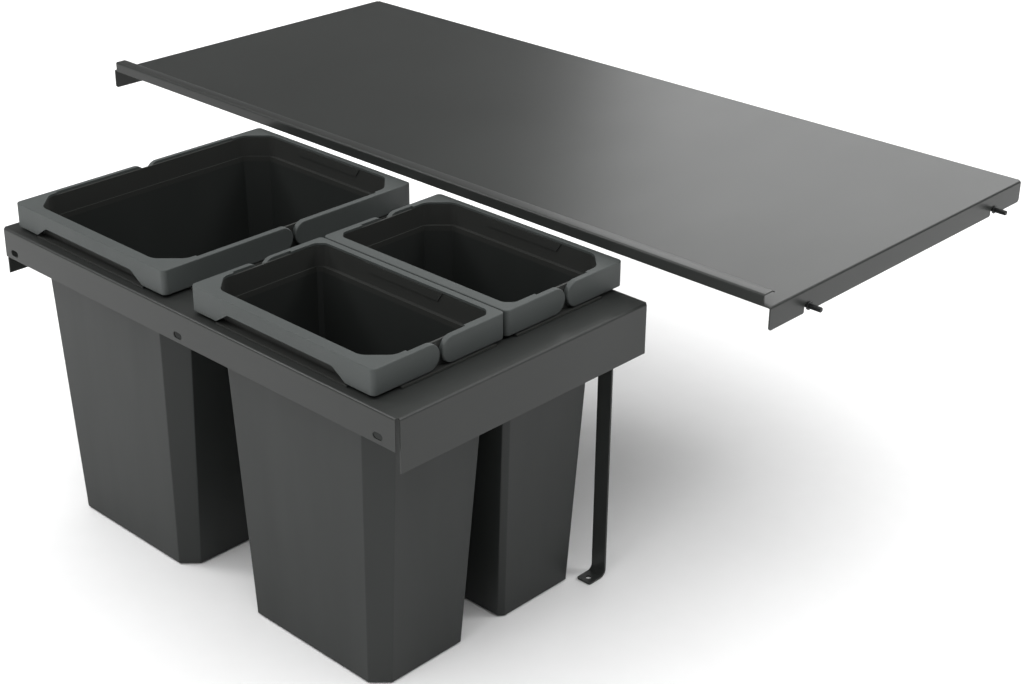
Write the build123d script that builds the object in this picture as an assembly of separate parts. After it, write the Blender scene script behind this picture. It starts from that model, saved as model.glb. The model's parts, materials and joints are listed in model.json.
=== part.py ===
from build123d import *
import os

# In-cabinet pull-out waste sorter: a folded steel carrier frame that holds three lift-out
# plastic bins, each with two swinging handles, and a steel cover shelf on four shelf pegs.
# Millimetres. +Z is up and the front faces -Y.
# Origin: midpoint of the four shelf pegs, at the height of their axes.

# cover shelf
SHELF_WIDTH = 964.0
SHELF_DEPTH = 432.5
SHELF_SHEET = 1.5
SHELF_UNDERSIDE = 15.4
SHELF_BOTTOM = -5.8
SHELF_REAR_BOTTOM = -4.0
LIP_TOP = 26.9
LIP_FLAT = 12.7
LIP_DEPTH = 16.5
LIP_CURL_DROP = 1.8
LIP_INSET_LEFT = 4.0
LIP_INSET_RIGHT = 8.0
SHELF_BEND = 2.2
FLANGE_CORNER = 3.5

# shelf pegs
PEG_SPACING = 320.0
PEG_SETBACK = 58.3
PEG_R = 2.5
PEG_REACH = 14.0
PEG_INNER = 8.0
COLLAR_R = 4.0
COLLAR_LENGTH = 1.2
PEG_CHAMFER = 0.5
NOTCH_WIDTH = 12.0
NOTCH_CORNER = 2.0
PEG_GAP = 0.05

# carrier frame, placed by its front centre at the top of its plate
FRAME_WIDTH = 578.0
FRAME_DEPTH = 317.0
FRAME_SHEET = 1.5
FRAME_X = 65.7
FRAME_Y = -543.1
PLATE_Z = -16.5
FRONT_FLANGE = 31.0
SIDE_FLANGE = 51.0
REAR_FLANGE = 31.0
CORNER_RELIEF = 3.2
FRAME_BEND = 2.4
SLOT_PITCH = 267.25
SLOT_SHIFT = -2.6
SLOT_Z = -23.8
SLOT_LENGTH = 12.0
SLOT_WIDTH = 6.5
WELL_MARGIN = 1.0

# bins: plan sizes are measured over the ring made by the two handles
RING_LOW = 3.2
RING_HEIGHT = 25.5
LARGE_WIDTH = 242.5
LARGE_LENGTH = 314.0
LARGE_X = -151.75
SMALL_WIDTH = 241.6
SMALL_LENGTH = 156.2
SMALL_X = 130.8
BINS_Y = 8.8
BIN_GAP = 1.8
BIN_BOTTOM = -315.2
BIN_WALL = 2.0
BIN_FLOOR = 2.5
BIN_FOOT_R = 1.5
RIM_TOP = 26.2
RIM_SIDE = 6.0
RIM_FRONT = 9.3
RIM_REAR = 5.5
BODY_SIDE = 7.5
BODY_FRONT = 10.8
BODY_REAR = 9.5
FOOT_SIDE = 26.4
FOOT_OUTER = 22.8
FOOT_INNER = 24.2
STEP_Z = 4.9

# corners of the bins, as the (leg, radius) of a 45 degree cut whose two edges are eased
LARGE_MOUTH = (23.0, 14.0)
OUTER_MOUTH = (20.5, 14.0)
INNER_MOUTH = (8.0, 8.0)
WIDE_BODY = (21.5, 2.5)
WIDE_FOOT = (15.6, 2.5)
NARROW_BODY = (5.0, 2.5)
LEG_GROWTH = 2 - 2**0.5

# bin ledges and grip panels
LEDGE_LOW = 0.3
LEDGE_THICK = 2.0
LEDGE_LARGE_CUT = 31.0
LEDGE_SMALL_CUT = 12.0
LEDGE_INSET = 0.4
LEDGE_REACH = 1.5
PANEL_TOP = 51.0
PANEL_LOW = 45.0
PANEL_Z = 17.1
PANEL_RAISE = 0.8

# handles
SKIRT = 2.2
ARM = 5.5
COVER = 2.2
COVER_INNER_SIDE = 7.9
COVER_REACH = 43.8
BAR_FRONT = 11.3
BAR_REAR = 7.5
PIVOT_HALF_SPAN = 14.3
HANDLE_OUTER_R = 5.0
HANDLE_EDGE = 1.2
GRIP_LOW = 87.0
GRIP_TOP = 69.5
GRIP_HEIGHT = 11.3
GRIP_R = 6.0
BOSS_R = 4.0
BOSS_LENGTH = 4.0
SOCKET_R = 4.05
SOCKET_SKIN = 1.8

# rear support brackets
STRAP_WIDTH = 17.0
STRAP_THICK = 2.0
STRAP_TOP = -3.0
STRAP_RIGHT_X = 239.5
STRAP_LEFT_X = -262.0
STRAP_BEND = 6.0
STRAP_FOOT = -316.0
STRAP_FOOT_LENGTH = 24.2
STRAP_CORNER = 2.0
FOOT_HOLE_R = 3.0
FOOT_HOLE_Y = 8.1
BOLT_R = 2.5
BOLT_HOLE_R = 2.65
BOLT_ZS = (-9.0, -23.0)
BOLT_HEAD_R = 4.6
BOLT_HEAD = 2.6
BOLT_SOCKET = 3.0
BOLT_TIP = 0.8
NUT_FLATS = 8.0
NUT_THICK = 4.0
NUT_BORE_R = 2.55
CUT = 1.0

HANDLE_MID_Z = RING_LOW + RING_HEIGHT / 2
STRAP_Y = FRAME_DEPTH
FRONT_BIN_Y = BINS_Y
REAR_BIN_Y = BINS_Y + SMALL_LENGTH + BIN_GAP
SHELF_FRONT = -PEG_SPACING / 2 - PEG_SETBACK
SHELF_TOP = SHELF_UNDERSIDE + SHELF_SHEET


def block(x0, x1, y0, y1, z0, z1):
    """A box from its corner coordinates."""
    size = (x1 - x0, y1 - y0, z1 - z0)
    return Pos((x0 + x1) / 2, (y0 + y1) / 2, (z0 + z1) / 2) * Box(*size)


def grown(corner, distance):
    """The corner that an outline has after it is moved outward by a distance."""
    leg, radius = corner
    return (leg + LEG_GROWTH * distance, radius + distance)


def cut_end(face, order, corner):
    """Cut and ease the two corners at the front (order 1) or the rear (order -1) of a face."""
    leg, radius = corner
    face = chamfer(face.vertices().sort_by(Axis.Y)[::order][:2], leg)
    return fillet(face.vertices().sort_by(Axis.Y)[::order][:4], radius)


def plan(width, y0, y1, corners):
    """A flat rectangle centred on x = 0, with its front and rear corners cut and eased."""
    front, rear = corners
    face = Pos(0, (y0 + y1) / 2) * Rectangle(width, y1 - y0)
    return cut_end(cut_end(face, 1, front), -1, rear)


def slab(face, z0, z1):
    """A flat face raised into a solid between two heights."""
    return extrude(Pos(0, 0, z0) * face, z1 - z0)


def side_prism(points, x0, x1):
    """A solid from a (y, z) outline, running from x0 to x1."""
    outline = make_face(Polyline(*[(x0, y, z) for y, z in points], close=True))
    return extrude(outline, x1 - x0, dir=(1, 0, 0))


def front_prism(points, y0, y1):
    """A solid from an (x, z) outline, running from y0 to y1."""
    outline = make_face(Polyline(*[(x, y0, z) for x, z in points], close=True))
    return extrude(outline, y1 - y0, dir=(0, 1, 0))


def rod(centre, axis, radius, length):
    """A round bar from a centre of its end face, along a unit axis."""
    return extrude(Plane(origin=centre, z_dir=axis) * Circle(radius), length)


# ---------------------------------------------------------------- cover shelf


def lip_profile():
    """Outline of the raised front lip: up, back over the top, and curled down at its rear."""
    y = SHELF_FRONT
    inner = LIP_TOP - SHELF_SHEET
    return [
        (y, SHELF_UNDERSIDE),
        (y, LIP_TOP),
        (y + LIP_FLAT, LIP_TOP),
        (y + LIP_DEPTH, LIP_TOP - LIP_CURL_DROP),
        (y + LIP_DEPTH, LIP_TOP - LIP_CURL_DROP - SHELF_SHEET),
        (y + LIP_FLAT, inner),
        (y + SHELF_SHEET, inner),
        (y + SHELF_SHEET, SHELF_UNDERSIDE),
    ]


def front_lip():
    """The lip with its two outer bends rounded."""
    left = -SHELF_WIDTH / 2 + LIP_INSET_LEFT
    right = SHELF_WIDTH / 2 - LIP_INSET_RIGHT
    lip = side_prism(lip_profile(), left, right)
    top_front = lip.edges().filter_by(Axis.X).group_by(Axis.Y)[0].sort_by(Axis.Z)[-1]
    return fillet(top_front, SHELF_BEND)


def peg_notch(x, y):
    """The cutter for one open notch in an end flange, where the shelf sits over a peg."""
    reach = SHELF_SHEET + CUT
    half = NOTCH_WIDTH / 2
    notch = block(x - reach, x + reach, y - half, y + half, SHELF_BOTTOM - CUT, PEG_R + PEG_GAP)
    roof = notch.edges().filter_by(Axis.X).group_by(Axis.Z)[-1]
    return fillet(roof, NOTCH_CORNER)


def end_flange(side):
    """One down-turned end of the shelf, with rounded lower corners and two peg notches."""
    outer = side * SHELF_WIDTH / 2
    inner = outer - side * SHELF_SHEET
    rear = SHELF_FRONT + SHELF_DEPTH - FLANGE_CORNER
    flange = block(min(outer, inner), max(outer, inner), SHELF_FRONT, rear, SHELF_BOTTOM, SHELF_TOP)
    low = flange.edges().filter_by(Axis.X).group_by(Axis.Z)[0]
    flange = fillet(low, FLANGE_CORNER)
    for y in (-PEG_SPACING / 2, PEG_SPACING / 2):
        flange -= peg_notch(outer, y)
    low = flange.edges().filter_by(Axis.X).group_by(Axis.Z)[0]
    mouths = [e for e in low if abs(abs(e.center().Y) - PEG_SPACING / 2) < NOTCH_WIDTH]
    return fillet(mouths, NOTCH_CORNER)


def cover_shelf():
    """The folded steel shelf above the bins."""
    half = SHELF_WIDTH / 2
    inner = half - FLANGE_CORNER
    rear = SHELF_FRONT + SHELF_DEPTH
    shelf = block(-half, half, SHELF_FRONT, rear - FLANGE_CORNER, SHELF_UNDERSIDE, SHELF_TOP)
    shelf += block(-inner, inner, SHELF_FRONT, rear, SHELF_UNDERSIDE, SHELF_TOP)
    shelf += block(-inner, inner, rear - SHELF_SHEET, rear, SHELF_REAR_BOTTOM, SHELF_TOP)
    shelf = shelf + end_flange(-1) + end_flange(1)
    top = shelf.faces().sort_by(Axis.Z)[-1]
    long_edges = [e for e in top.edges() if e.length > FLANGE_CORNER + CUT]
    bends = [e for e in long_edges if e.center().Y > SHELF_FRONT + CUT]
    return fillet(bends, SHELF_BEND) + front_lip()


def shelf_peg(side, y):
    """One shelf peg: a plain pin with a thin collar against the shelf's end flange."""
    face = side * (SHELF_WIDTH / 2 + PEG_GAP)
    out = (side, 0, 0)
    pin = rod((face - side * PEG_INNER, y, 0), out, PEG_R, PEG_INNER + PEG_REACH)
    tips = pin.edges().filter_by(GeomType.CIRCLE)
    pin = chamfer(tips, PEG_CHAMFER)
    return pin + rod((face, y, 0), out, COLLAR_R, COLLAR_LENGTH)


# -------------------------------------------------------------- carrier frame


def slot_cutter(x):
    """The cutter for one fixing slot in the front flange, long along X."""
    face = Plane.XZ.offset(-FRAME_SHEET - CUT) * Pos(x, SLOT_Z) * SlotOverall(SLOT_LENGTH, SLOT_WIDTH)
    return extrude(face, FRAME_SHEET + 2 * CUT)


def well(width, y0, length, x, corners):
    """The cutter for the plate opening that one bin hangs in."""
    low = y0 + BODY_FRONT - WELL_MARGIN
    high = y0 + length - BODY_REAR + WELL_MARGIN
    corners = [grown(corner, WELL_MARGIN) for corner in corners]
    face = plan(width - 2 * BODY_SIDE + 2 * WELL_MARGIN, low, high, corners)
    return Pos(x, 0, 0) * slab(face, -FRAME_SHEET - CUT, CUT)


def folded_sheet():
    """The plate and its four down-turned flanges, open at the corners."""
    half = FRAME_WIDTH / 2
    depth = FRAME_DEPTH
    gap = CORNER_RELIEF
    t = FRAME_SHEET
    sheet = block(-half + gap, half - gap, 0, depth, -t, 0)
    sheet += block(-half, half, gap, depth - gap, -t, 0)
    sheet += block(-half + gap, half - gap, 0, t, -FRONT_FLANGE, 0)
    sheet += block(-half + gap, half - gap, depth - t, depth, -REAR_FLANGE, 0)
    sheet += block(-half, -half + t, gap, depth - gap, -SIDE_FLANGE, 0)
    sheet += block(half - t, half, gap, depth - gap, -SIDE_FLANGE, 0)
    top = sheet.faces().sort_by(Axis.Z)[-1]
    long_edges = [e for e in top.edges() if e.length > CORNER_RELIEF + CUT]
    return fillet(long_edges, FRAME_BEND)


def carrier_frame():
    """The folded frame with its fixing slots, bin openings and bracket holes."""
    frame = folded_sheet()
    for x in (-SLOT_PITCH, 0, SLOT_PITCH):
        frame -= slot_cutter(SLOT_SHIFT + x)
    frame -= well(LARGE_WIDTH, BINS_Y, LARGE_LENGTH, LARGE_X, (WIDE_BODY, WIDE_BODY))
    frame -= well(SMALL_WIDTH, FRONT_BIN_Y, SMALL_LENGTH, SMALL_X, (WIDE_BODY, NARROW_BODY))
    frame -= well(SMALL_WIDTH, REAR_BIN_Y, SMALL_LENGTH, SMALL_X, (NARROW_BODY, WIDE_BODY))
    hole_start = FRAME_DEPTH - FRAME_SHEET - CUT
    for x, z in bolt_places():
        frame -= rod((x, hole_start, z), (0, 1, 0), BOLT_HOLE_R, FRAME_SHEET + 2 * CUT)
    return frame


# ------------------------------------------------------------------- brackets


def support_bracket(x):
    """A steel strap down from the rear flange, with a foot bent forward and a screw hole."""
    back = STRAP_Y + STRAP_THICK
    toe = back - STRAP_FOOT_LENGTH
    outline = [
        (STRAP_Y, STRAP_TOP),
        (back, STRAP_TOP),
        (back, STRAP_FOOT),
        (toe, STRAP_FOOT),
        (toe, STRAP_FOOT + STRAP_THICK),
        (STRAP_Y, STRAP_FOOT + STRAP_THICK),
    ]
    half = STRAP_WIDTH / 2
    strap = side_prism(outline, x - half, x + half)
    inner = strap.edges().filter_by(Axis.X).group_by(Axis.Z)[1].sort_by(Axis.Y)[-1]
    strap = fillet(inner, STRAP_BEND)
    heel = strap.edges().filter_by(Axis.X).group_by(Axis.Z)[0].sort_by(Axis.Y)[-1]
    strap = fillet(heel, STRAP_BEND + STRAP_THICK)
    ends = strap.edges().filter_by(Axis.Z).group_by(Axis.Y)[0]
    strap = fillet(ends, STRAP_CORNER)
    top = strap.edges().filter_by(Axis.Y).group_by(Axis.Z)[-1]
    strap = fillet(top, STRAP_CORNER)
    strap -= rod((x, toe + FOOT_HOLE_Y, STRAP_FOOT - CUT), (0, 0, 1), FOOT_HOLE_R, STRAP_THICK + 2 * CUT)
    for z in BOLT_ZS:
        strap -= rod((x, STRAP_Y - CUT, z), (0, 1, 0), BOLT_HOLE_R, STRAP_THICK + 2 * CUT)
    return strap


def bracket_bolt(x, z):
    """A button-head bolt from behind, through the strap and the rear flange."""
    seat = STRAP_Y + STRAP_THICK
    start = STRAP_Y - FRAME_SHEET - NUT_THICK - BOLT_TIP
    head = rod((x, seat, z), (0, 1, 0), BOLT_HEAD_R, BOLT_HEAD)
    rim = head.edges().filter_by(GeomType.CIRCLE).sort_by(Axis.Y)[-1]
    head = fillet(rim, BOLT_HEAD / 2)
    socket = Plane(origin=(x, seat + BOLT_HEAD / 2, z), z_dir=(0, 1, 0))
    key = socket * RegularPolygon(BOLT_SOCKET / 2, 6, major_radius=False)
    return head + rod((x, start, z), (0, 1, 0), BOLT_R, seat - start) - extrude(key, BOLT_HEAD)


def bracket_nut(x, z):
    """A hexagon nut on the inner side of the rear flange."""
    seat = STRAP_Y - FRAME_SHEET
    face = Plane(origin=(x, seat - NUT_THICK, z), z_dir=(0, 1, 0))
    hexagon = RegularPolygon(NUT_FLATS / 2, 6, major_radius=False) - Circle(NUT_BORE_R)
    return extrude(face * hexagon, NUT_THICK)


def bolt_places():
    """Where the four bracket bolts go, as (x, z)."""
    return [(x, z) for x in (STRAP_LEFT_X, STRAP_RIGHT_X) for z in BOLT_ZS]


# ----------------------------------------------------------------------- bins


def taper_faces(width, length, ends, wall):
    """The top and the foot outline of a tapered bin body, both moved inward by wall."""
    top_corners = [grown(body, -wall) for body, foot, inset in ends]
    foot_corners = [grown(foot, -wall) for body, foot, inset in ends]
    foot_front, foot_rear = (inset + wall for body, foot, inset in ends)
    top_front = BODY_FRONT + wall
    top_rear = length - BODY_REAR - wall
    top = plan(width - 2 * (BODY_SIDE + wall), top_front, top_rear, top_corners)
    foot_width = width - 2 * (FOOT_SIDE + wall)
    return top, plan(foot_width, foot_front, length - foot_rear, foot_corners)


def bin_ledge(width, length, front_cut, rear_cut):
    """The thin ledge that rests on the frame, stopped short of the corners.

    It stands a little proud of the handles at the two sides, but not at the front and rear.
    """
    half = width / 2 + LEDGE_REACH
    top = LEDGE_LOW + LEDGE_THICK
    across = block(-half, half, front_cut, length - rear_cut, LEDGE_LOW, top)
    along = block(-GRIP_LOW, GRIP_LOW, LEDGE_INSET, length - LEDGE_INSET, LEDGE_LOW, top)
    return across + along


def grip_panel(y0, y1):
    """The shallow raised panel on an inner wall, behind the grip of a handle."""
    low = [(-PANEL_LOW, PANEL_Z), (PANEL_LOW, PANEL_Z)]
    high = [(PANEL_TOP, RIM_TOP), (-PANEL_TOP, RIM_TOP)]
    return front_prism(low + high, y0, y1)


def pivot_boss(side, width, y):
    """A round stub on the rim that a handle arm turns on."""
    start = side * (width / 2 - RIM_SIDE - BIN_WALL / 2)
    return rod((start, y, HANDLE_MID_Z), (side, 0, 0), BOSS_R, BOSS_LENGTH + BIN_WALL / 2)


def tapered_solid(faces, floor):
    """A solid that narrows from the ledge down to a floor height."""
    top, bottom = faces
    return loft([Pos(0, 0, floor) * bottom, Pos(0, 0, LEDGE_LOW) * top], ruled=True)


def waste_bin(width, length, mouth_corners, ends, ledge_cuts):
    """A tapered bin with a straight rim, a resting ledge and four pivot stubs.

    ends holds the front's and the rear's body corner, foot corner and foot inset.
    """
    front_wall = RIM_FRONT + BIN_WALL
    rear_wall = length - RIM_REAR - BIN_WALL
    outside = tapered_solid(taper_faces(width, length, ends, 0), BIN_BOTTOM)
    body = fillet(outside.faces().sort_by(Axis.Z)[0].edges(), BIN_FOOT_R)
    rim_corners = [grown(corner, BIN_WALL) for corner in mouth_corners]
    rim = plan(width - 2 * RIM_SIDE, RIM_FRONT, length - RIM_REAR, rim_corners)
    body = body + bin_ledge(width, length, *ledge_cuts) + slab(rim, LEDGE_LOW, RIM_TOP)
    mouth = plan(width - 2 * (RIM_SIDE + BIN_WALL), front_wall, rear_wall, mouth_corners)
    body -= slab(mouth, STEP_Z, RIM_TOP + CUT)
    inner = taper_faces(width, length, ends, BIN_WALL)
    body -= tapered_solid(inner, BIN_BOTTOM + BIN_FLOOR)
    body -= slab(inner[0], LEDGE_LOW - CUT / 2, STEP_Z + CUT / 2)
    body += grip_panel(front_wall - BIN_WALL / 2, front_wall + PANEL_RAISE)
    body += grip_panel(rear_wall - PANEL_RAISE, rear_wall + BIN_WALL / 2)
    for side in (-1, 1):
        for y in (length / 2 - PIVOT_HALF_SPAN, length / 2 + PIVOT_HALF_SPAN):
            body += pivot_boss(side, width, y)
    return body


# -------------------------------------------------------------------- handles


def handle_blank(width, reach):
    """The outer block of a handle: rounded corners in plan, round arm ends from the side."""
    tip = reach + RING_HEIGHT / 2
    outline = Pos(0, tip / 2) * Rectangle(width, tip)
    outline = fillet(outline.vertices().sort_by(Axis.Y)[:2], HANDLE_OUTER_R)
    profile = block(-width, width, -CUT, reach, 0, RING_HEIGHT)
    profile += rod((-width, reach, RING_HEIGHT / 2), (1, 0, 0), RING_HEIGHT / 2, 2 * width)
    return extrude(outline, RING_HEIGHT) & profile


def handle(width, length, bar, corner):
    """A U-shaped handle: a skirted bar with a grip cut-out, two arms and a rim cover."""
    reach = length / 2 - PIVOT_HALF_SPAN
    tip = reach + RING_HEIGHT
    half = width / 2
    body = handle_blank(width, reach)
    edges = [e for e in body.faces().sort_by(Axis.Z)[-1].edges() if e.center().Y < reach - CUT]
    body = fillet(edges, HANDLE_EDGE)
    inner = half - ARM
    body -= block(-inner, inner, SKIRT, tip, -CUT, RING_HEIGHT - COVER)
    body -= block(-inner, inner, COVER_REACH, tip, -CUT, RING_HEIGHT + CUT)
    mouth = Pos(0, (bar + tip) / 2) * Rectangle(2 * (half - COVER_INNER_SIDE), tip - bar)
    body -= slab(cut_end(mouth, 1, corner), -CUT, RING_HEIGHT + CUT)
    body -= grip_cutter()
    for side in (-1, 1):
        start = side * (inner - CUT)
        depth = ARM - SOCKET_SKIN + CUT
        body -= rod((start, reach, RING_HEIGHT / 2), (side, 0, 0), SOCKET_R, depth)
    return body


def grip_cutter():
    """The cutter for the finger cut-out in the lower edge of a handle's bar."""
    right = [(GRIP_LOW, -CUT), (GRIP_LOW, 0), (GRIP_TOP, GRIP_HEIGHT)]
    left = [(-x, z) for x, z in reversed(right)]
    cutter = front_prism(right + left, -CUT, SKIRT + CUT)
    shoulders = cutter.edges().filter_by(Axis.Y).group_by(Axis.Z)[-1]
    return fillet(shoulders, GRIP_R)


# ------------------------------------------------------------------- assembly


def at_frame(part):
    """Move a piece from the carrier frame's own axes to the shared ones."""
    return Pos(FRAME_X, FRAME_Y, PLATE_Z) * part


def front_handle(width, length, x, y, corner):
    """The front handle of a bin, in the carrier frame's axes."""
    return Pos(x, y, RING_LOW) * handle(width, length, BAR_FRONT, corner)


def rear_handle(width, length, x, y, corner):
    """The rear handle of a bin: turned half round about the bin's middle."""
    turned = Rot(0, 0, 180) * handle(width, length, BAR_REAR, corner)
    return Pos(x, y + length, RING_LOW) * turned


def small_bin(flipped):
    """A small bin. Its wide corner cuts face away from the other small bin."""
    order = -1 if flipped else 1
    mouth = (OUTER_MOUTH, INNER_MOUTH)[::order]
    ends = ((WIDE_BODY, WIDE_FOOT, FOOT_OUTER), (NARROW_BODY, NARROW_BODY, FOOT_INNER))[::order]
    cuts = (LEDGE_LARGE_CUT, LEDGE_SMALL_CUT)[::order]
    return waste_bin(SMALL_WIDTH, SMALL_LENGTH, mouth, ends, cuts)


def large_bin():
    """The full-depth bin, with four wide corner cuts."""
    mouth = (LARGE_MOUTH, LARGE_MOUTH)
    ends = [(WIDE_BODY, WIDE_FOOT, FOOT_OUTER)] * 2
    cuts = (LEDGE_LARGE_CUT, LEDGE_LARGE_CUT)
    return waste_bin(LARGE_WIDTH, LARGE_LENGTH, mouth, ends, cuts)


def shelf_parts():
    """The cover shelf and its four pegs."""
    near = -PEG_SPACING / 2
    far = PEG_SPACING / 2
    return {
        "cover_shelf": cover_shelf(),
        "shelf_peg_front_left": shelf_peg(-1, near),
        "shelf_peg_rear_left": shelf_peg(-1, far),
        "shelf_peg_front_right": shelf_peg(1, near),
        "shelf_peg_rear_right": shelf_peg(1, far),
    }


def carrier_parts():
    """The carrier frame, its brackets and their fasteners."""
    places = bolt_places()
    return {
        "carrier_frame": at_frame(carrier_frame()),
        "support_bracket_left": at_frame(support_bracket(STRAP_LEFT_X)),
        "support_bracket_right": at_frame(support_bracket(STRAP_RIGHT_X)),
        "bracket_bolts": at_frame(Compound(children=[bracket_bolt(x, z) for x, z in places])),
        "bracket_nuts": at_frame(Compound(children=[bracket_nut(x, z) for x, z in places])),
    }


def bin_parts():
    """The three bins and their six handles."""
    large = (LARGE_WIDTH, LARGE_LENGTH, LARGE_X, BINS_Y, LARGE_MOUTH)
    front = (SMALL_WIDTH, SMALL_LENGTH, SMALL_X, FRONT_BIN_Y)
    rear = (SMALL_WIDTH, SMALL_LENGTH, SMALL_X, REAR_BIN_Y)
    return {
        "large_bin": at_frame(Pos(LARGE_X, BINS_Y, 0) * large_bin()),
        "front_small_bin": at_frame(Pos(SMALL_X, FRONT_BIN_Y, 0) * small_bin(False)),
        "rear_small_bin": at_frame(Pos(SMALL_X, REAR_BIN_Y, 0) * small_bin(True)),
        "large_bin_front_handle": at_frame(front_handle(*large)),
        "large_bin_rear_handle": at_frame(rear_handle(*large)),
        "front_small_bin_front_handle": at_frame(front_handle(*front, OUTER_MOUTH)),
        "front_small_bin_rear_handle": at_frame(rear_handle(*front, INNER_MOUTH)),
        "rear_small_bin_front_handle": at_frame(front_handle(*rear, INNER_MOUTH)),
        "rear_small_bin_rear_handle": at_frame(rear_handle(*rear, OUTER_MOUTH)),
    }


os.makedirs("parts", exist_ok=True)
nodes = {**shelf_parts(), **carrier_parts(), **bin_parts()}
for name, shape in nodes.items():
    export_step(shape, f"parts/{name}.step")
    print(name, len(shape.solids()), round(shape.volume))
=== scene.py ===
import json
from math import cos, radians, sin, tau

import bmesh
import bpy
from mathutils import Matrix, Vector


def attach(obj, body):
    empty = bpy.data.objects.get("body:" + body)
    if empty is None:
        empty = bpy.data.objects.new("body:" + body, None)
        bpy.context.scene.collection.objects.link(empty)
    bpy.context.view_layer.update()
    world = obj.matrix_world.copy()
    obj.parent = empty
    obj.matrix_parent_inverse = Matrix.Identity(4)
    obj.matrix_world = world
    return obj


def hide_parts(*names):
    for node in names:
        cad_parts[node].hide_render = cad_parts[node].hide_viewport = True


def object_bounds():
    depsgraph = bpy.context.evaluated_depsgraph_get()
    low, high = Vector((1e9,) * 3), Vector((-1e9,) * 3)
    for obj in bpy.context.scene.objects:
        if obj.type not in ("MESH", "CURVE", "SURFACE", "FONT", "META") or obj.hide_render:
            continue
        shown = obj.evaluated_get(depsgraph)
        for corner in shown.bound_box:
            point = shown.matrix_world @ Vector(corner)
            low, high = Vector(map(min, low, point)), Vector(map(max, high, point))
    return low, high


# In-cabinet pull-out waste sorter: powder-coated sheet steel with moulded plastic bins and
# handles. Metres, in the CAD frame: +Z is up and the front faces -Y.

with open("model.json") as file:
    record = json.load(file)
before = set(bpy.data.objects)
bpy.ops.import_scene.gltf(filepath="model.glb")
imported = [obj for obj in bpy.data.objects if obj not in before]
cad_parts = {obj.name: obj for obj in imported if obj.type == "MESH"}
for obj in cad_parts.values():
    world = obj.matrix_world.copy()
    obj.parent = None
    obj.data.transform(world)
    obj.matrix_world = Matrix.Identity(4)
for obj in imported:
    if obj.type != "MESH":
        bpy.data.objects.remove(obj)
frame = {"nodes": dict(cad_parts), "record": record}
cad_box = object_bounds()

# ------------------------------------------------------------------ broken edges

EDGE_STEEL = 0.00035
EDGE_PLASTIC = 0.00045
EDGE_HARDWARE = 0.00015
EDGE_SEGMENTS = 2
SHARP_ANGLE = radians(28)
FLAT_ANGLE = radians(0.4)
MERGE_DISTANCE = 2e-6
FACE_WEIGHT = 100

# ------------------------------------------------------------------ colours and surfaces

STEEL_COLOUR = (0.0262, 0.0278, 0.0266)
BIN_COLOUR = (0.0175, 0.0195, 0.0185)
# painted light: the bins' lighter colour above the frame's plate
PAINTED_RIM_LIGHT_COLOUR = (0.030, 0.031, 0.029)
HANDLE_COLOUR = (0.053, 0.059, 0.0575)
HARDWARE_COLOUR = (0.022, 0.023, 0.023)
FLOOR_COLOUR = (0.93, 0.93, 0.93)

STEEL_ROUGHNESS = 0.31
BIN_ROUGHNESS = 0.5
HANDLE_ROUGHNESS = 0.52
FLOOR_ROUGHNESS = 0.9
STEEL_SPECULAR = 0.22
PLASTIC_SPECULAR = 0.3
FLOOR_SPECULAR = 0.1
HARDWARE_METALLIC = 0.8

# heights of the finest relief
PEEL_HEIGHT = 0.000035
COAT_GRAIN_HEIGHT = 0.000012
PLASTIC_GRAIN_HEIGHT = 0.00003
PIT_SHARE = 0.6
TURNING_HEIGHT = 0.00001

# widths of the lighter strip along an edge, partly wear and partly painted highlight
STEEL_WEAR_AND_HIGHLIGHT = 0.0008
PLASTIC_WEAR_AND_HIGHLIGHT = 0.0009
HARDWARE_WEAR_AND_HIGHLIGHT = 0.0004

# the heights between which a bin's colour changes to the lighter rim colour, which is painted
# light, and how much of it changes
PAINTED_RIM_LIGHT_FADE = (-0.0175, -0.0160)
PAINTED_RIM_LIGHT_SHARE = 0.85

# ------------------------------------------------------------------ camera, floor and lights

CAMERA_AT = (1.2984, -1.4216, 0.6857)
CAMERA_BACK = (0.637497, -0.645562, 0.420531)
CAMERA_RIGHT = (0.711583, 0.702602, -0.000140)
CAMERA_LENS = 64.13
CAMERA_SHIFT = (0.0459, -0.0393)
CAMERA_CLIP = (0.01, 100.0)

# the floor's profile as (radius, rise) rings
COVE = ((6.0, 0.0), (20.0, 0.0), (22.0, 0.3), (23.5, 1.2), (24.0, 3.0))
COVE_SIDES = 96
FLOOR_GAP = 0.0005

# from and to which sine of the elevation the sky brightens, and its two strengths
SKY_FADE = (0.52, 0.76, 0.06, 1.92)

# name, place, target, (width, height), watts
SOFTBOXES = (
    ("key", (0.3, -3.2, 1.1), (0.05, -0.5, -0.15), (1.8, 1.4), 20.0),
    ("front_edges", (-1.9, -1.8, 1.92), (0.0, -0.54, 0.0), (0.7, 0.7), 24.0),
    ("right_edges", (1.9, 1.2, 1.9), (0.35, -0.35, 0.0), (0.7, 0.7), 17.0),
    ("shelf_sheen", (-0.65, 2.9, 1.45), (0.1, 0.0, 0.0), (3.0, 1.5), 39.0),
)


# ------------------------------------------------------------------ node helpers


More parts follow.
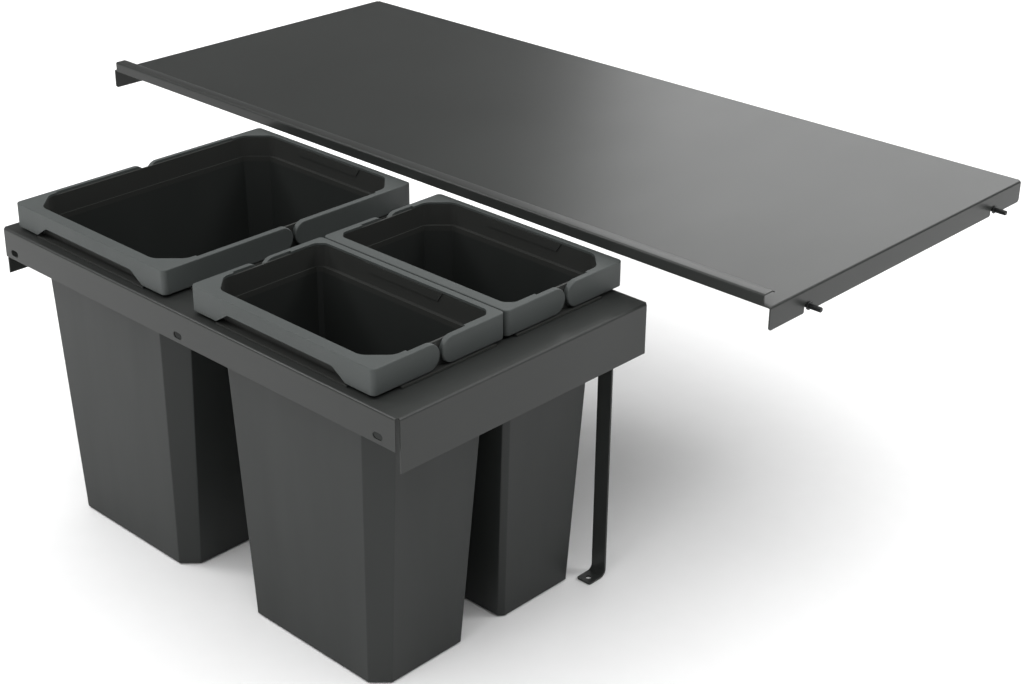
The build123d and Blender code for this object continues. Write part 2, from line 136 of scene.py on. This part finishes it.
class Nodes:
    """A short way to add and wire the nodes of one material."""

    def __init__(self, name):
        self.material = bpy.data.materials.new(name)
        self.material.use_nodes = True
        self.tree = self.material.node_tree
        self.tree.nodes.clear()
        self.output = self.add("ShaderNodeOutputMaterial")
        self.shader = self.add("ShaderNodeBsdfPrincipled")
        self.wire(self.shader, "BSDF", self.output, "Surface")

    def add(self, kind, **settings):
        """A new node. Settings name its input sockets in lower case, or its properties."""
        node = self.tree.nodes.new(kind)
        sockets = {s.name.lower().replace(" ", "_"): s for s in node.inputs}
        for key, value in settings.items():
            if key in sockets:
                sockets[key].default_value = value
            else:
                setattr(node, key, value)
        return node

    def wire(self, source, output, target, socket):
        """Connect an output to an input, both given by name or number."""
        self.tree.links.new(source.outputs[output], target.inputs[socket])

    def set(self, socket, value):
        """Give one of the shader's own sockets a constant value."""
        self.shader.inputs[socket].default_value = value

    def position(self):
        """The object's own coordinates, so that a pattern moves with its piece."""
        return self.add("ShaderNodeTexCoord")

    def noise(self, coords, scale, detail=2.0, roughness=0.5, stretch=None):
        """A noise texture in the object's coordinates, stretched where asked."""
        texture = self.add("ShaderNodeTexNoise", scale=scale, detail=detail, roughness=roughness)
        if stretch:
            mapping = self.add("ShaderNodeMapping", scale=stretch)
            self.wire(coords, "Object", mapping, "Vector")
            self.wire(mapping, "Vector", texture, "Vector")
        else:
            self.wire(coords, "Object", texture, "Vector")
        return texture

    def spread(self, source, output, low, high, out_low, out_high):
        """Map a range of values to another one."""
        node = self.add("ShaderNodeMapRange")
        node.inputs["From Min"].default_value = low
        node.inputs["From Max"].default_value = high
        node.inputs["To Min"].default_value = out_low
        node.inputs["To Max"].default_value = out_high
        self.wire(source, output, node, "Value")
        return node

    def product(self, a, a_output, b, b_output):
        """Two outputs multiplied."""
        node = self.add("ShaderNodeMath", operation="MULTIPLY")
        self.wire(a, a_output, node, 0)
        self.wire(b, b_output, node, 1)
        return node

    def blend(self, factor, colour_a, colour_b):
        """A mix of two colours. Each is (node, output) or a plain colour."""
        node = self.add("ShaderNodeMix", data_type="RGBA")
        self.tree.links.new(factor[0].outputs[factor[1]], node.inputs["Factor"])
        for socket, value in ((node.inputs[6], colour_a), (node.inputs[7], colour_b)):
            if isinstance(value[0], bpy.types.Node):
                self.tree.links.new(value[0].outputs[value[1]], socket)
            else:
                socket.default_value = (*value, 1.0)
        return node

    def edges(self, radius):
        """0 on flat surfaces, rising to 1 within a radius of an outer or inner edge."""
        rounded = self.add("ShaderNodeBevel", samples=6, radius=radius)
        plain = self.add("ShaderNodeNewGeometry")
        dot = self.add("ShaderNodeVectorMath", operation="DOT_PRODUCT")
        self.wire(rounded, "Normal", dot, 0)
        self.wire(plain, "Normal", dot, 1)
        return self.spread(dot, "Value", 0.995, 0.8, 0.0, 1.0)

    def bump(self, layers):
        """Bumps from (node, output, height) layers, one over the other."""
        below = None
        for source, output, height in layers:
            node = self.add("ShaderNodeBump", strength=1.0, distance=height)
            self.wire(source, output, node, "Height")
            if below:
                self.wire(below, "Normal", node, "Normal")
            below = node
        self.wire(below, "Normal", self.shader, "Normal")


def scaled(colour, factor):
    """A colour made lighter or darker."""
    return tuple(c * factor for c in colour)


# ------------------------------------------------------------------ materials
# A noise's scale is in cycles per metre, and a mask's limits are values of the noise.


def powder_coat(name, colour, roughness):
    """Powder-coated steel: fine orange peel, faint handling marks, and edges lighter, partly
    thin coat and partly painted highlight.
    """
    n = Nodes(name)
    coords = n.position()
    cloud = n.noise(coords, 5.0, detail=3.0)
    peel = n.noise(coords, 620.0, detail=2.0, roughness=0.55)
    grain = n.noise(coords, 2600.0, detail=1.0)
    smear = n.noise(coords, 16.0, detail=5.0, roughness=0.6, stretch=(1.0, 0.35, 1.0))
    cloud_mask = n.spread(cloud, "Fac", 0.35, 0.65, 0.0, 1.0)
    tone = n.blend((cloud_mask, "Result"), scaled(colour, 0.94), scaled(colour, 1.06))
    speck_mask = n.spread(grain, "Fac", 0.38, 0.66, 0.0, 0.5)
    speckled = n.blend((speck_mask, "Result"), (tone, 2), scaled(colour, 1.35))
    # lighter edges: partly thin coat, partly painted highlight
    edge = n.edges(STEEL_WEAR_AND_HIGHLIGHT)
    worn_and_highlight = n.product(edge, "Result", peel, "Fac")
    colour_with_wear_and_painted_light = n.blend((worn_and_highlight, "Value"), (speckled, 2), scaled(colour, 2.1))
    n.wire(colour_with_wear_and_painted_light, 2, n.shader, "Base Color")
    rough = n.spread(smear, "Fac", 0.3, 0.75, roughness - 0.012, roughness + 0.012)
    n.wire(rough, "Result", n.shader, "Roughness")
    n.set("Specular IOR Level", STEEL_SPECULAR)
    n.bump([(peel, "Fac", PEEL_HEIGHT), (grain, "Fac", COAT_GRAIN_HEIGHT)])
    return n.material


def moulded_plastic(name, colour, roughness, painted_rim_light=None):
    """Fine-grained moulded polypropylene with faint flow lines, and edges lighter, partly rubbed
    and partly painted highlight.

    Where a lighter rim colour is given, it is painted light: it lightens what lies above the
    frame's plate.
    """
    n = Nodes(name)
    coords = n.position()
    cloud = n.noise(coords, 7.0, detail=3.0)
    grain = n.noise(coords, 1500.0, detail=3.0, roughness=0.6)
    pits = n.add("ShaderNodeTexVoronoi", scale=900.0)
    n.wire(coords, "Object", pits, "Vector")
    flow = n.noise(coords, 22.0, detail=4.0, roughness=0.55, stretch=(1.0, 1.0, 0.12))
    cloud_mask = n.spread(cloud, "Fac", 0.35, 0.65, 0.0, 1.0)
    tone = n.blend((cloud_mask, "Result"), scaled(colour, 0.95), scaled(colour, 1.05))
    flow_mask = n.spread(flow, "Fac", 0.4, 0.7, 0.0, 0.35)
    streaked = n.blend((flow_mask, "Result"), (tone, 2), scaled(colour, 1.12))
    speck_mask = n.spread(grain, "Fac", 0.42, 0.7, 0.0, 0.4)
    speckled = n.blend((speck_mask, "Result"), (streaked, 2), scaled(colour, 1.3))
    # lighter edges: partly rubbed, partly painted highlight
    edge = n.edges(PLASTIC_WEAR_AND_HIGHLIGHT)
    rubbed_and_highlight = n.product(edge, "Result", grain, "Fac")
    colour_with_wear_and_painted_light = n.blend((rubbed_and_highlight, "Value"), (speckled, 2), scaled(colour, 1.8))
    if painted_rim_light:
        parts = n.add("ShaderNodeSeparateXYZ")
        n.wire(coords, "Object", parts, "Vector")
        # painted light: a lighter colour above the frame's plate
        painted_rim_light_mask = n.spread(parts, "Z", *PAINTED_RIM_LIGHT_FADE, 0.0, PAINTED_RIM_LIGHT_SHARE)
        colour_with_wear_and_painted_light = n.blend((painted_rim_light_mask, "Result"), (colour_with_wear_and_painted_light, 2), painted_rim_light)
    n.wire(colour_with_wear_and_painted_light, 2, n.shader, "Base Color")
    rough = n.spread(flow, "Fac", 0.3, 0.7, roughness - 0.04, roughness + 0.05)
    n.wire(rough, "Result", n.shader, "Roughness")
    n.set("Specular IOR Level", PLASTIC_SPECULAR)
    n.bump([
        (pits, "Distance", PLASTIC_GRAIN_HEIGHT * PIT_SHARE),
        (grain, "Fac", PLASTIC_GRAIN_HEIGHT),
    ])
    return n.material


def black_oxide(name, colour):
    """Oiled black steel of the pegs, bolts and nuts, with edges lighter, partly wear and partly
    painted highlight.
    """
    n = Nodes(name)
    coords = n.position()
    mottle = n.noise(coords, 420.0, detail=4.0, roughness=0.6)
    turned = n.noise(coords, 900.0, detail=1.0, stretch=(6.0, 0.5, 0.5))
    tone_mask = n.spread(mottle, "Fac", 0.35, 0.65, 0.0, 1.0)
    tone = n.blend((tone_mask, "Result"), scaled(colour, 0.7), scaled(colour, 1.4))
    # lighter edges: partly wear, partly painted highlight
    edge = n.edges(HARDWARE_WEAR_AND_HIGHLIGHT)
    colour_with_wear_and_painted_light = n.blend((edge, "Result"), (tone, 2), scaled(colour, 4.0))
    n.wire(colour_with_wear_and_painted_light, 2, n.shader, "Base Color")
    n.set("Metallic", HARDWARE_METALLIC)
    rough = n.spread(mottle, "Fac", 0.3, 0.7, 0.32, 0.5)
    n.wire(rough, "Result", n.shader, "Roughness")
    n.bump([(turned, "Fac", TURNING_HEIGHT)])
    return n.material


def floor_material():
    """Pale matt floor with a barely visible grain."""
    n = Nodes("pale_floor")
    coords = n.position()
    grain = n.noise(coords, 40.0, detail=3.0)
    mask = n.spread(grain, "Fac", 0.3, 0.7, 0.0, 1.0)
    tone = n.blend((mask, "Result"), scaled(FLOOR_COLOUR, 0.99), FLOOR_COLOUR)
    n.wire(tone, 2, n.shader, "Base Color")
    n.set("Roughness", FLOOR_ROUGHNESS)
    n.set("Specular IOR Level", FLOOR_SPECULAR)
    return n.material


# ------------------------------------------------------------------ pieces


def body_of_node():
    """Each CAD node's body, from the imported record."""
    bodies = frame["record"]["behaviour"]["bodies"]
    return {node: body for body, nodes in bodies.items() for node in nodes}


def slot_of_node():
    """Each CAD node's material slot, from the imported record."""
    return {s["node"]: s["material_slot"] for s in frame["record"]["subparts"]}


def welded(mesh):
    """Join the mesh's split corners and take the needless edges out of its flat faces."""
    if "custom_normal" in mesh.attributes:
        mesh.attributes.remove(mesh.attributes["custom_normal"])
    bm = bmesh.new()
    bm.from_mesh(mesh)
    bmesh.ops.remove_doubles(bm, verts=bm.verts[:], dist=MERGE_DISTANCE)
    bmesh.ops.dissolve_limit(
        bm, angle_limit=FLAT_ANGLE, verts=bm.verts[:], edges=bm.edges[:]
    )
    bm.to_mesh(mesh)
    bm.free()


def finished(node, body, width, material):
    """A piece with the CAD node's shape and its sharp edges broken, standing for the node."""
    mesh = frame["nodes"][node].data.copy()
    welded(mesh)
    piece = bpy.data.objects.new(node + "_finish", mesh)
    bpy.context.collection.objects.link(piece)
    bevel = piece.modifiers.new("broken_edges", "BEVEL")
    bevel.width = width
    bevel.segments = EDGE_SEGMENTS
    bevel.limit_method = "ANGLE"
    bevel.angle_limit = SHARP_ANGLE
    mesh.materials.clear()
    mesh.materials.append(material)
    mesh.shade_smooth()
    normals = piece.modifiers.new("even_normals", "WEIGHTED_NORMAL")
    normals.keep_sharp = True
    normals.weight = FACE_WEIGHT
    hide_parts(node)
    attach(piece, body)


def all_pieces():
    """Every CAD node, finished with the edge width and material of its slot."""
    steel = powder_coat("anthracite_powder_coat", STEEL_COLOUR, STEEL_ROUGHNESS)
    bins = moulded_plastic("bin_plastic", BIN_COLOUR, BIN_ROUGHNESS, PAINTED_RIM_LIGHT_COLOUR)
    handles = moulded_plastic("handle_plastic", HANDLE_COLOUR, HANDLE_ROUGHNESS)
    hardware = black_oxide("black_oxide", HARDWARE_COLOUR)
    finishes = {
        "anthracite_steel": (EDGE_STEEL, steel),
        "bin_plastic": (EDGE_PLASTIC, bins),
        "handle_plastic": (EDGE_PLASTIC, handles),
        "dark_hardware": (EDGE_HARDWARE, hardware),
    }
    bodies = body_of_node()
    for node, slot_name in slot_of_node().items():
        width, material = finishes[slot_name]
        finished(node, bodies[node], width, material)


# ------------------------------------------------------------------ studio


def camera():
    """The camera, from its place, its viewing direction and its right-hand direction."""
    data = bpy.data.cameras.new("camera")
    data.lens = CAMERA_LENS
    data.shift_x, data.shift_y = CAMERA_SHIFT
    data.clip_start, data.clip_end = CAMERA_CLIP
    back = Vector(CAMERA_BACK).normalized()
    right = Vector(CAMERA_RIGHT).normalized()
    up = back.cross(right)
    turn = Matrix((right, up, back)).transposed().to_4x4()
    view = bpy.data.objects.new("camera", data)
    view.matrix_world = Matrix.Translation(CAMERA_AT) @ turn
    bpy.context.collection.objects.link(view)
    bpy.context.scene.camera = view


def floor(height):
    """A wide round floor that curves up into a low wall far away from the object."""
    bm = bmesh.new()
    angles = [tau * k / COVE_SIDES for k in range(COVE_SIDES)]
    rings = [
        [bm.verts.new((radius * cos(a), radius * sin(a), height + rise)) for a in angles]
        for radius, rise in COVE
    ]
    bm.faces.new(rings[0])
    for inner, outer in zip(rings, rings[1:]):
        for k in range(COVE_SIDES):
            after = (k + 1) % COVE_SIDES
            bm.faces.new((inner[k], outer[k], outer[after], inner[after]))
    mesh = bpy.data.meshes.new("floor")
    bm.to_mesh(mesh)
    bm.free()
    mesh.shade_smooth()
    mesh.materials.append(floor_material())
    ground = bpy.data.objects.new("floor", mesh)
    bpy.context.collection.objects.link(ground)


def softbox(name, place, target, size, power):
    """A rectangular area light aimed at a point."""
    data = bpy.data.lights.new(name, "AREA")
    data.shape = "RECTANGLE"
    data.size, data.size_y = size
    data.energy = power
    light = bpy.data.objects.new(name, data)
    light.location = place
    aim = Vector(target) - Vector(place)
    light.rotation_euler = aim.to_track_quat("-Z", "Y").to_euler()
    bpy.context.collection.objects.link(light)


def surroundings():
    """Even white light from overhead that fades to a dim room near the horizon."""
    world = bpy.data.worlds.new("surroundings")
    world.use_nodes = True
    tree = world.node_tree
    direction = tree.nodes.new("ShaderNodeTexCoord")
    parts = tree.nodes.new("ShaderNodeSeparateXYZ")
    height = tree.nodes.new("ShaderNodeMapRange")
    height.interpolation_type = "SMOOTHSTEP"
    for socket, value in zip(("From Min", "From Max", "To Min", "To Max"), SKY_FADE):
        height.inputs[socket].default_value = value
    background = tree.nodes["Background"]
    background.inputs["Color"].default_value = (1.0, 1.0, 1.0, 1.0)
    tree.links.new(direction.outputs["Generated"], parts.inputs["Vector"])
    tree.links.new(parts.outputs["Z"], height.inputs["Value"])
    tree.links.new(height.outputs["Result"], background.inputs["Strength"])
    bpy.context.scene.world = world


def studio():
    """The surroundings, and softboxes for the front, the bends and the shelf's sheen."""
    surroundings()
    for box in SOFTBOXES:
        softbox(*box)


camera()
floor(cad_box[0][2] - FLOOR_GAP)
studio()
all_pieces()

bpy.context.scene.view_settings.view_transform = "Standard"
